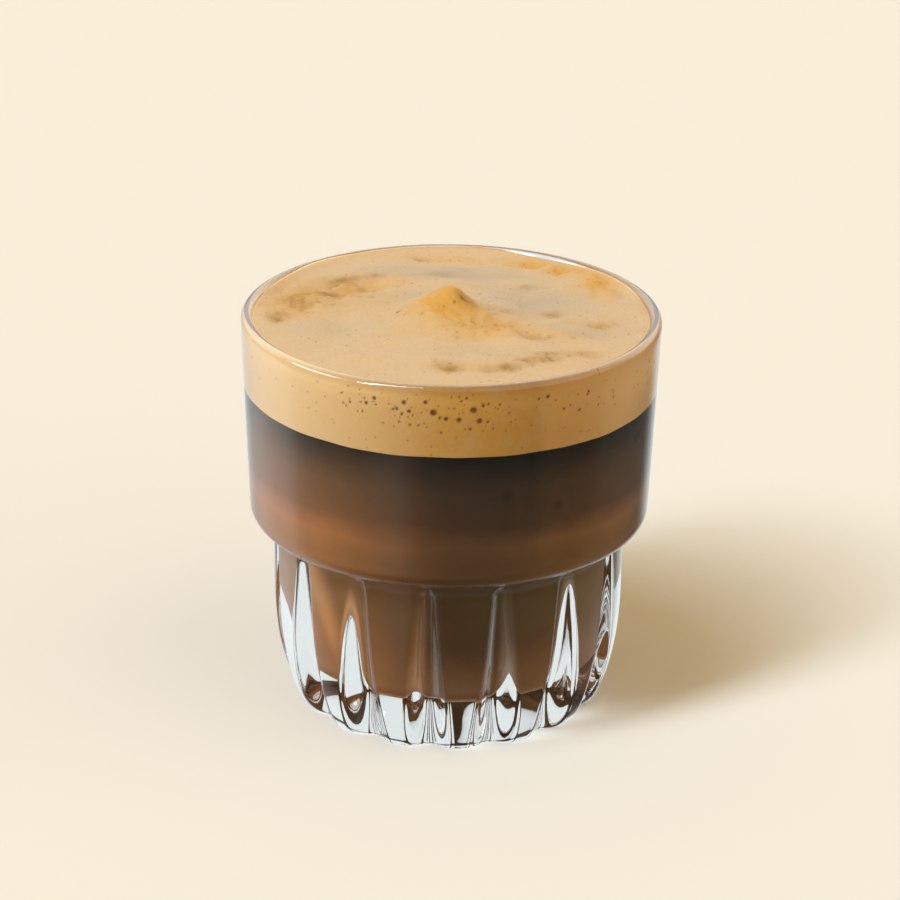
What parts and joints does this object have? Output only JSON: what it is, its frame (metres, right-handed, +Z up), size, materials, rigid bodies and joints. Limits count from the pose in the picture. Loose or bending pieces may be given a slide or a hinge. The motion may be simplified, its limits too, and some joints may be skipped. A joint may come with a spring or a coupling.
{
  "type": "milk coffee in a glass",
  "caption": "Stepped tumbler with a grooved lower body and thick base, filled with milky and dark coffee under a thick foam that rises to a soft peak.",
  "frame": {"origin": "centre of the underside, on the surface the glass stands on", "axes": "+Z up along the glass, -Y the front as pictured, +X to the right seen from the front"},
  "size_m": [0.088, 0.088, 0.0926],
  "materials": {
    "clear_glass": "clear, polished",
    "milky_coffee": "opaque brown liquid",
    "dark_coffee": "opaque dark brown liquid",
    "coffee_foam": "soft golden foam with fine bubbles"
  },
  "bodies": {
    "root": {"glass": "clear_glass", "milky_coffee": "milky_coffee", "dark_coffee": "dark_coffee", "foam": "coffee_foam"}
  },
  "joints": []
}
